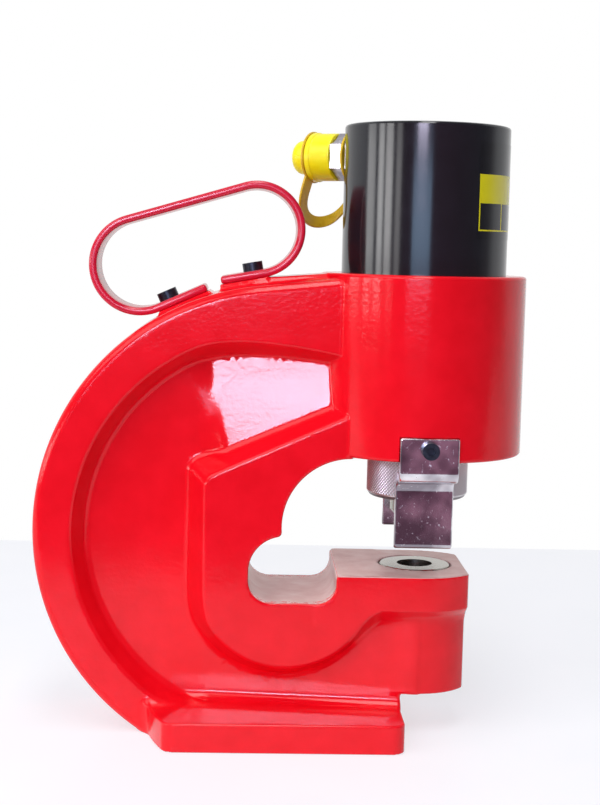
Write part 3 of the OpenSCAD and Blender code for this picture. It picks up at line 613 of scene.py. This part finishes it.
def tube_faces(rings, around, looped=False):
    """Quads between rings of points, with flat ends or joined into a loop."""
    faces = []
    for i in range(rings if looped else rings - 1):
        n = (i + 1) % rings
        for j in range(around):
            k = (j + 1) % around
            faces.append((i * around + j, i * around + k, n * around + k, n * around + j))
    if not looped:
        faces += [tuple(range(around)), tuple((rings - 1) * around + j for j in range(around))]
    return faces


def turned(profile, around, place):
    """A closed profile of radius and height turned round an axis that place puts in the part."""
    points = []
    for i in range(around):
        a = 2 * math.pi * i / around
        points += [place(r * math.cos(a), r * math.sin(a), z) for r, z in profile]
    return points, tube_faces(around, len(profile), looped=True)


def flat_section(half_w, half_t, r, steps=4):
    """Corners of a flat bar's section, edges rounded to r: across and through."""
    points = []
    for sx, sy, a0 in ((1, 1, 0), (-1, 1, 90), (-1, -1, 180), (1, -1, 270)):
        for i in range(steps + 1):
            a = math.radians(a0 + 90 * i / steps)
            points.append((sx * (half_w - r) + r * math.cos(a), sy * (half_t - r) + r * math.sin(a)))
    return points


def arc(centre, radius, a0, a1, steps):
    """Points of an arc in x and z with its outward direction."""
    points = []
    for i in range(steps + 1):
        a = math.radians(a0 + (a1 - a0) * i / steps)
        out = (math.cos(a), math.sin(a))
        points.append(((centre[0] + radius * out[0], centre[1] + radius * out[1]), out))
    return points


def bent_bar(path, half_w, half_t, edge, end_round):
    """A flat bar along a path of points with outward directions, its edges and ends rounded."""

    def round_end(ring, beyond):
        (x, z), out, _ = ring
        d = (Vector(ring[0]) - Vector(beyond[0])).normalized()
        rounded = [((x - d.x * end_round, z - d.y * end_round), out, 0.0)]
        for k in range(1, 5):
            a = math.radians(22.5 * k)
            shift = end_round * (math.sin(a) - 1)
            rounded.append(((x + d.x * shift, z + d.y * shift), out, end_round * (1 - math.cos(a))))
        return rounded

    bar = [(point, out, 0.0) for point, out in path]
    rings = round_end(bar[0], bar[1])[::-1] + bar[1:-1] + round_end(bar[-1], bar[-2])
    points = []
    for (x, z), (ox, oz), drawn_in in rings:
        r = min(max(edge - drawn_in, 0.02), half_t - drawn_in - 0.01)
        for across, through in flat_section(half_w - drawn_in, half_t - drawn_in, r):
            points.append((x + ox * through, across, z + oz * through))
    return points, tube_faces(len(rings), len(points) // len(rings))


def carrying_handle():
    """Flat bar with round edges bent to a closed grip, its two feet on the rim."""
    edge, end_round, steps = 1.9, 1.8, 60
    dx, dz = FRONT_BEND[0] - BACK_BEND[0], FRONT_BEND[1] - BACK_BEND[1]
    spread = math.acos((BACK_BEND_R - FRONT_BEND_R) / math.hypot(dx, dz))
    upper = math.degrees(math.atan2(dz, dx) + spread)
    back, front = math.degrees(SLOPE_BACK) - 90, math.degrees(SLOPE_FRONT) - 90
    path = arc(BACK_BEND, BACK_BEND_R - BAR_T / 2, back, upper - 360, steps)
    path += arc(FRONT_BEND, FRONT_BEND_R - BAR_T / 2, upper, front, steps)
    (x, z), out = path[0]
    path.insert(0, ((x + FOOT_BACK_L * math.cos(SLOPE_BACK), z + FOOT_BACK_L * math.sin(SLOPE_BACK)), out))
    (x, z), out = path[-1]
    path.append(((x - FOOT_FRONT_L * math.cos(SLOPE_FRONT), z - FOOT_FRONT_L * math.sin(SLOPE_FRONT)), out))
    points, faces = bent_bar(path, BAR_HALF, BAR_T / 2, edge, end_round)
    piece("carrying_handle", points, faces, BAR_ENAMEL, "frame", ("handle",), "red_enamel_bar", sharp=50)


carrying_handle()


def knurled_nut():
    """Round nut with a diamond knurl between two plain chamfers."""
    z0, z1 = low("punch_nut").z, high("punch_nut").z
    r = high("punch_nut").x - AXIS_X
    teeth, steps = 92, 4
    around = teeth * steps
    pitch = 2 * math.pi * r / teeth
    rows = np.arange(z0 + 3.2, z1 - 1.9, pitch / steps)
    lower = [(r - 2.5, z0), (r - 1.9, z0 + 0.35), (r - 0.45, z0 + 2.3), (r - 0.45, z0 + 2.8)]
    upper = [(r - 0.45, z1 - 1.6), (r - 0.6, z1 - 1.2), (r - 1.5, z1 - 0.2), (r - 1.8, z1)]
    rod_r, shank_r, lip = 22.6, 17.3, 7.9
    inner = [(rod_r, z1), (rod_r, z0 + lip), (shank_r, z0 + lip), (shank_r, z0)]
    points = []
    for i in range(around):
        a = 2 * math.pi * i / around
        ring = list(lower)
        for z in rows:
            p, q = (i / steps + (z - z0) / pitch) % 1, (i / steps - (z - z0) / pitch) % 1
            ridge = min(abs(2 * p - 1), abs(2 * q - 1))
            ring.append((r - KNURL * (1 - ridge), z))
        ring += upper + inner
        points += [(out * math.cos(a), out * math.sin(a), z) for out, z in ring]
    faces = tube_faces(around, len(points) // around, looped=True)
    piece("knurled_nut", points, faces, KNURLED, "nut", ("punch_nut",), "turned_steel", sharp=18)


knurled_nut()


def inset(section, d):
    """A closed section drawn in by a distance."""
    q = np.asarray(section, float)
    along = np.roll(q, -1, 0) - q
    along /= np.linalg.norm(along, axis=1, keepdims=True)
    inward = np.stack((-along[:, 1], along[:, 0]), 1)
    before = np.roll(inward, 1, 0)
    share = 1 + (inward * before).sum(1, keepdims=True)
    return q + d * (inward + before) / share


def stripper(name, side):
    """Bent plate with rounded edges: upper leg on the head, step inwards, lower leg beside the punch."""
    top, step, foot = high(name).z, HEAD_Z - 12.8, low(name).z
    outer, inner, thick = 66.0, 44.2, 5.5
    bend, hollow, edge, toe, smooth = 7.5, 8.0, 1.3, 3.0, 35
    turns = [((-outer + edge, top - edge), edge, 90, 180, 4),
             ((-outer + bend, step + bend), bend, 180, 270, 10),
             ((-inner - hollow, step - hollow), hollow, 90, 0, 10),
             ((-inner + toe, foot + toe), toe, 180, 270, 6),
             ((-inner + thick - edge, foot + edge), edge, 270, 360, 4),
             ((-inner + thick - bend, step + thick - bend), bend, 0, 90, 10),
             ((-outer + bend, step + bend), bend - thick, 270, 180, 6),
             ((-outer + thick - edge, top - edge), edge, 0, 90, 4)]
    section = [point for turn in turns for point, _ in arc(*turn)]
    half = (high(name).x - low(name).x) / 2
    # both sides are drawn in less than their round, so that the section's own rounds stay open
    steps = [math.radians(a) for a in (0, 30, 60, 90)]
    rings = [(-half + edge * (1 - math.cos(a)), 0.7 * edge * (1 - math.sin(a))) for a in steps]
    rings += [(-x, d) for x, d in reversed(rings)]
    points = [(x, side * y, z) for x, d in rings for y, z in inset(section, d)]
    faces = tube_faces(len(rings), len(section))
    obj = piece(name + "_plate", points, faces, ZINC, "frame", (name,), "zinc_plate", sharp=smooth)
    # hole for the screw
    hole_r, hole_y, hole_z, reach = 3.3, side * (-outer + thick / 2), HEAD_Z + 8.4, 7.5
    profile = [(hole_r, -reach), (hole_r, reach), (0.01, reach), (0.01, -reach)]
    drill = piece("drill", *turned(profile, 32, lambda x, z, y: (x, hole_y + y, hole_z + z)), ZINC)
    cut = obj.modifiers.new("screw_hole", "BOOLEAN")
    cut.object, cut.operation, cut.solver = drill, "DIFFERENCE", "EXACT"
    bpy.context.view_layer.update()
    mesh = bpy.data.meshes.new_from_object(obj.evaluated_get(bpy.context.evaluated_depsgraph_get()))
    obj.modifiers.clear()
    obj.data = mesh
    bpy.data.objects.remove(drill)
    mesh.set_sharp_from_angle(angle=math.radians(smooth))
    flats = obj.modifiers.new("flat_faces", "WEIGHTED_NORMAL")
    flats.mode, flats.weight, flats.keep_sharp = "FACE_AREA", 90, True


stripper("stripper_front", 1)
stripper("stripper_rear", -1)

# Oil port: its turn and height, then stations along it from the cylinder axis and radii
PORT_TURN = math.radians(148)
PORT_Z = CYL_TOP - 18.6
PORT_X, PORT_Y = math.cos(PORT_TURN), math.sin(PORT_TURN)
CAP_S0, CAP_FLANGE, CAP_TIP, NOSE_END = 64.3, 82.3, 96.8, 79.8
NOSE_R, CAP_R, KNOB_R, GROOVE_R, NECK_R = 13.05, 15.6, 11.2, 9.9, 10.4


def at_port(side, up, along):
    """From across, up and along the oil port to the punch axis."""
    return (PORT_X * along - PORT_Y * side, PORT_Y * along + PORT_X * side, PORT_Z + up)


def dust_cap():
    """Moulded cap with a rolled flange and a domed knob to pull."""
    dome, wall = 6.0, 0.5
    profile = [(NOSE_R, CAP_S0), (CAP_R - 0.9, CAP_S0), (CAP_R - 0.3, CAP_S0 + 0.25), (CAP_R, CAP_S0 + 0.9),
               (CAP_R, CAP_FLANGE - 4.3), (CAP_R + 0.2, CAP_FLANGE - 3.8), (CAP_R + 0.65, CAP_FLANGE - 3.3)]
    profile += [(CAP_R + 0.1 + 0.6 * math.cos(a), CAP_FLANGE - 0.7 + 0.7 * math.sin(a))
                for a in np.radians(np.arange(0, 91, 22.5))]
    profile += [(CAP_R - 2, CAP_FLANGE), (GROOVE_R + 0.6, CAP_FLANGE), (GROOVE_R, CAP_FLANGE + 0.5),
                (GROOVE_R, CAP_FLANGE + 1.9), (GROOVE_R + 0.3, CAP_FLANGE + 2.2),
                (KNOB_R - 0.4, CAP_FLANGE + 2.25), (KNOB_R, CAP_FLANGE + 2.8)]
    profile += [(KNOB_R * math.cos(a) ** 0.6, CAP_TIP - dome + dome * math.sin(a))
                for a in np.radians(np.arange(0, 90, 9))]
    profile += [(0.3, CAP_TIP), (0.3, NOSE_END + wall), (NOSE_R, NOSE_END + wall)]
    points, faces = turned(profile, 72, at_port)
    piece("yellow_dust_cap", points, faces, YELLOW, "cap", ("dust_cap",), "yellow_plastic", sharp=40)


dust_cap()


def cap_strap():
    """Flat strap: an eye round the coupler's neck, a hanging loop that turns from back to front,
    an eye round the cap's knob."""
    half_w, half_t, eye_r, edge = 5.0, 0.8, 17.0, 0.4
    reach, swing, first_turn, turn_by = 44.5, 12.0, -70, 95
    neck_s, knob_s, rings = 54.1, CAP_FLANGE + 1.0, 72
    points, faces = [], []

    def hang(u):
        turn = math.radians(first_turn + turn_by * u)
        sag = max(math.sin(math.pi * u), 0) ** (1.4 if u < 0.5 else 0.6)
        down = eye_r - 1 + (reach - eye_r + 1) * sag
        s = neck_s + (knob_s - neck_s) * (1 - math.cos(math.pi * u)) / 2 + swing * math.sin(math.pi * u)
        return Vector((down * math.sin(turn), -down * math.cos(turn), s))

    def join(more):
        base = len(points)
        points.extend(more[0])
        faces.extend(tuple(base + v for v in f) for f in more[1])

    for s, hole in ((neck_s, NECK_R + 0.05), (knob_s, GROOVE_R + 0.05)):
        eye = [(hole, s - half_t), (eye_r - edge, s - half_t), (eye_r, s - half_t + edge),
               (eye_r, s + half_t - edge), (eye_r - edge, s + half_t), (hole, s + half_t)]
        join(turned(eye, 72, at_port))
    band = []
    for i in range(rings + 1):
        u = i / rings
        turn = math.radians(first_turn + turn_by * u ** 3)
        across = Vector((math.cos(turn), math.sin(turn), 0))
        along = hang(min(u + 0.01, 1)) - hang(max(u - 0.01, 0))
        through = along.cross(across).normalized()
        for wide, thick in flat_section(half_w, half_t, 0.5):
            band.append(at_port(*(hang(u) + across * wide + through * thick)))
    join((band, tube_faces(rings + 1, len(band) // (rings + 1))))
    obj = piece("cap_strap_band", points, faces, AMBER, None, ("cap_strap",), "yellow_plastic", sharp=40)
    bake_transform(obj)


cap_strap()


def coil(name, turns, radius, wire, height, place):
    """A round-wire compression spring of even pitch along an axis."""
    steps, around = 40, 14
    count = int(turns * steps)
    points = []
    for i in range(count + 1):
        a = 2 * math.pi * i / steps
        climb = wire / 2 + (height - wire) * i / count
        for j in range(around):
            b = 2 * math.pi * j / around
            out = radius + wire / 2 * math.cos(b)
            points.append(place(out * math.cos(a), out * math.sin(a), climb + wire / 2 * math.sin(b)))
    faces = tube_faces(count + 1, around)
    obj = piece(name + "_wire", points, faces, SPRING, "frame", (name,), "spring_steel", sharp=60)
    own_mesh(obj)


# Return spring between the rod and its bore, and the valve's spring along the port
ROD_R, STROKE = 22.5, 27.0
SPRING_Z, SPRING_H = low("return_spring").z, high("return_spring").z - low("return_spring").z
coil("return_spring", 9, (ROD_R + SPRING_BORE_R) / 2, 7.0, SPRING_H, lambda x, y, z: (x, y, SPRING_Z + z))
VALVE_S, VALVE_H, VALVE_STROKE = 56.8, 8.0, 3.0
coil("valve_spring", 3.5, 4.6, 1.1, VALVE_H, lambda x, y, z: at_port(x, y, VALVE_S + z))


def break_edges(obj, width):
    """Edges broken as a file or a tumbler leaves them."""
    bevel = obj.modifiers.new("broken_edges", "BEVEL")
    bevel.width = width * MM
    bevel.segments = 3
    bevel.limit_method = "ANGLE"
    bevel.angle_limit = math.radians(40)
    bevel.harden_normals = True


for node, width in (("coupler_body", 0.5), ("stripper_screws", 0.6), ("handle_screws", 0.5)):
    break_edges(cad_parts[node], width)


def label():
    """Bare ruled table on a dark film round the cylinder's right side; angles in degrees from the front."""
    base_r, film_t, ink_t, line = CYL_R + 0.05, 0.10, 0.16, 0.9
    film_a0, film_a1, film_z0, film_z1 = 30.5, 124.0, 317.5, 377.0
    a0, a1, foot_z, head_z, top_z = 31.6, 119.0, 322.5, 339.6, 357.4
    line_turn = math.degrees(line / CYL_R)

    def patch(name, a0, a1, z0, z1, lift, finish):
        steps = max(2, int(abs(a1 - a0) / 2) + 1)
        points, faces = [], []
        for i in range(steps + 1):
            a = math.radians(a0 + (a1 - a0) * i / steps)
            for r, z in ((base_r, z0), (base_r, z1), (base_r + lift, z1), (base_r + lift, z0)):
                points.append((r * math.sin(a), -r * math.cos(a), z))
        for i in range(steps):
            for j in range(4):
                k = (j + 1) % 4
                faces.append((4 * i + j, 4 * i + 4 + j, 4 * i + 4 + k, 4 * i + k))
        faces += [(0, 1, 2, 3), tuple(4 * steps + j for j in (3, 2, 1, 0))]
        piece(name, points, faces, finish, "frame", slot="black_enamel_steel")

    patch("label_film", film_a0, film_a1, film_z0, film_z1, film_t, FILM)
    patch("label_head", a0, a1, head_z, top_z, ink_t, PRINT)
    patch("label_foot_line", a0, a1, foot_z, foot_z + line, ink_t, PRINT)
    for k, a in enumerate((a0, 55.5, 81.0, 101.0, a1 - line_turn)):
        patch(f"label_line_{k}", a, a + line_turn, foot_z, head_z, ink_t, PRINT)


label()


# Stage and light
def stage():
    """A pale table that ends behind the object, in a white room that is dim behind the camera."""
    mesh = bpy.data.meshes.new("table_top")
    x, front, back, below = 3.0, -0.5, 0.585, 0.0002
    mesh.from_pydata([(-x, front, 0), (x, front, 0), (x, back, 0), (-x, back, 0)], [], [(0, 1, 2, 3)])
    table = bpy.data.objects.new("table_top", mesh)
    table.location.z = -below
    bpy.context.scene.collection.objects.link(table)
    # white laminate: faint clouds, and a share of glow for the eye and for mirrors so that it stays pale
    material, tree, out = new_material("white_laminate")
    at = add(tree, "TexCoord").outputs["Object"]
    cloud = add(tree, "TexNoise", {"Vector": at}, Scale=per_metre(60), Detail=2.0)
    colour = add(tree, "ValToRGB", {"Fac": cloud.outputs["Fac"]}, stops=[(0.3, "#EEF1F7"), (0.7, "#F5F7FB")])
    laminate = add(tree, "BsdfPrincipled", {"Base Color": colour}, Roughness=0.5)
    glow = add(tree, "Emission", Color=hex_colour("#FAFBFF"), Strength=1.17)
    rays = add(tree, "LightPath").outputs
    seen = rays["Is Camera Ray"]
    for mirror in ("Is Glossy Ray", "Is Transmission Ray"):
        seen = add(tree, "Math", {0: seen, 1: rays[mirror]}, operation="ADD", use_clamp=True)
    share = add(tree, "MapRange", {"Value": seen}, To_Max=0.58)
    mix = add(tree, "MixShader", {0: share, 1: laminate, 2: glow})
    tree.links.new(mix.outputs[0], out.inputs[0])
    mesh.materials.append(material)


def white_room():
    """White to the camera; metal and plastic see a white wall behind the object, a dim room in front."""
    world = bpy.data.worlds.new("white_room")
    bpy.context.scene.world = world
    world.use_nodes = True
    tree = world.node_tree
    tree.nodes.clear()
    out = tree.nodes.new("ShaderNodeOutputWorld")
    rays = add(tree, "LightPath").outputs
    way = add(tree, "SeparateXYZ", {"Vector": add(tree, "TexCoord").outputs["Generated"]})
    facing = add(tree, "MapRange", {"Value": way.outputs["Y"]}, From_Min=-1.0, From_Max=1.0)
    walls = add(tree, "ValToRGB", {"Fac": facing},
                stops=[(0.0, "#8C5F74"), (0.12, "#7C5F6E"), (0.36, "#76727A"),
                       (0.5, "#9C9AA0"), (0.62, "#F4F6FA"), (1.0, "#FFFFFF")])
    shown = add(tree, "Math", {0: rays["Is Glossy Ray"], 1: rays["Is Transmission Ray"]},
                operation="ADD", use_clamp=True)
    light = add(tree, "Background", {"Color": walls}, Strength=0.29)
    mirrored = add(tree, "Background", {"Color": walls}, Strength=1.0)
    white = add(tree, "Background", Color=(1, 1, 1, 1), Strength=1.0)
    mix = add(tree, "MixShader", {0: shown, 1: light, 2: mirrored})
    mix = add(tree, "MixShader", {0: rays["Is Camera Ray"], 1: mix, 2: white})
    tree.links.new(mix.outputs[0], out.inputs[0])


stage()
white_room()
AIM = Vector((0.0, 0.0, 0.18))


def panel(name, turn, rise, width, height, radiance, colour=(1, 1, 1), away=2.3):
    """A soft panel that faces the object, in degrees as seen from it: turn left of the camera's side,
    rise above level, width and height."""
    a, e = math.radians(turn), math.radians(rise)
    way = Vector((-math.sin(a) * math.cos(e), -math.cos(a) * math.cos(e), math.sin(e)))
    size = [2 * away * math.tan(math.radians(v) / 2) for v in (width, height)]
    data = bpy.data.lights.new(name, "AREA")
    data.shape = "RECTANGLE"
    data.size, data.size_y = size
    data.energy = radiance * math.pi * size[0] * size[1]
    data.color = colour
    obj = bpy.data.objects.new(name, data)
    bpy.context.scene.collection.objects.link(obj)
    at = AIM + way * away
    obj.matrix_world = Matrix.Translation(at) @ (at - AIM).to_track_quat("Z", "Y").to_matrix().to_4x4()


# A large window at the front left and a skylight give the soft light
panel("key_window", 46, 40, 44, 30, 2.6)
panel("skylight", 2, 66, 14, 48, 7.0)
# The leaning web mirrors the sky in a window
panel("sky_in_window", 10.5, 13.2, 13, 5.8, 45.0, (0.82, 0.76, 1.0))
# The black cylinder mirrors the blue below that sky, and window strips at the left
panel("window_by_camera", 9.3, 4.6, 25, 6.0, 5.0, (0.42, 0.68, 1.0))
strips = ((87.5, 14.0, 5.0), (70.5, 8.6, 8.5), (57.5, 10.6, 8.0), (43.0, 7.6, 3.5))
for strip, (turn, width, level) in enumerate(strips):
    panel(f"left_window_{strip}", turn, 5.8, width, 9.2, level)

bpy.context.scene.view_settings.view_transform = "Standard"
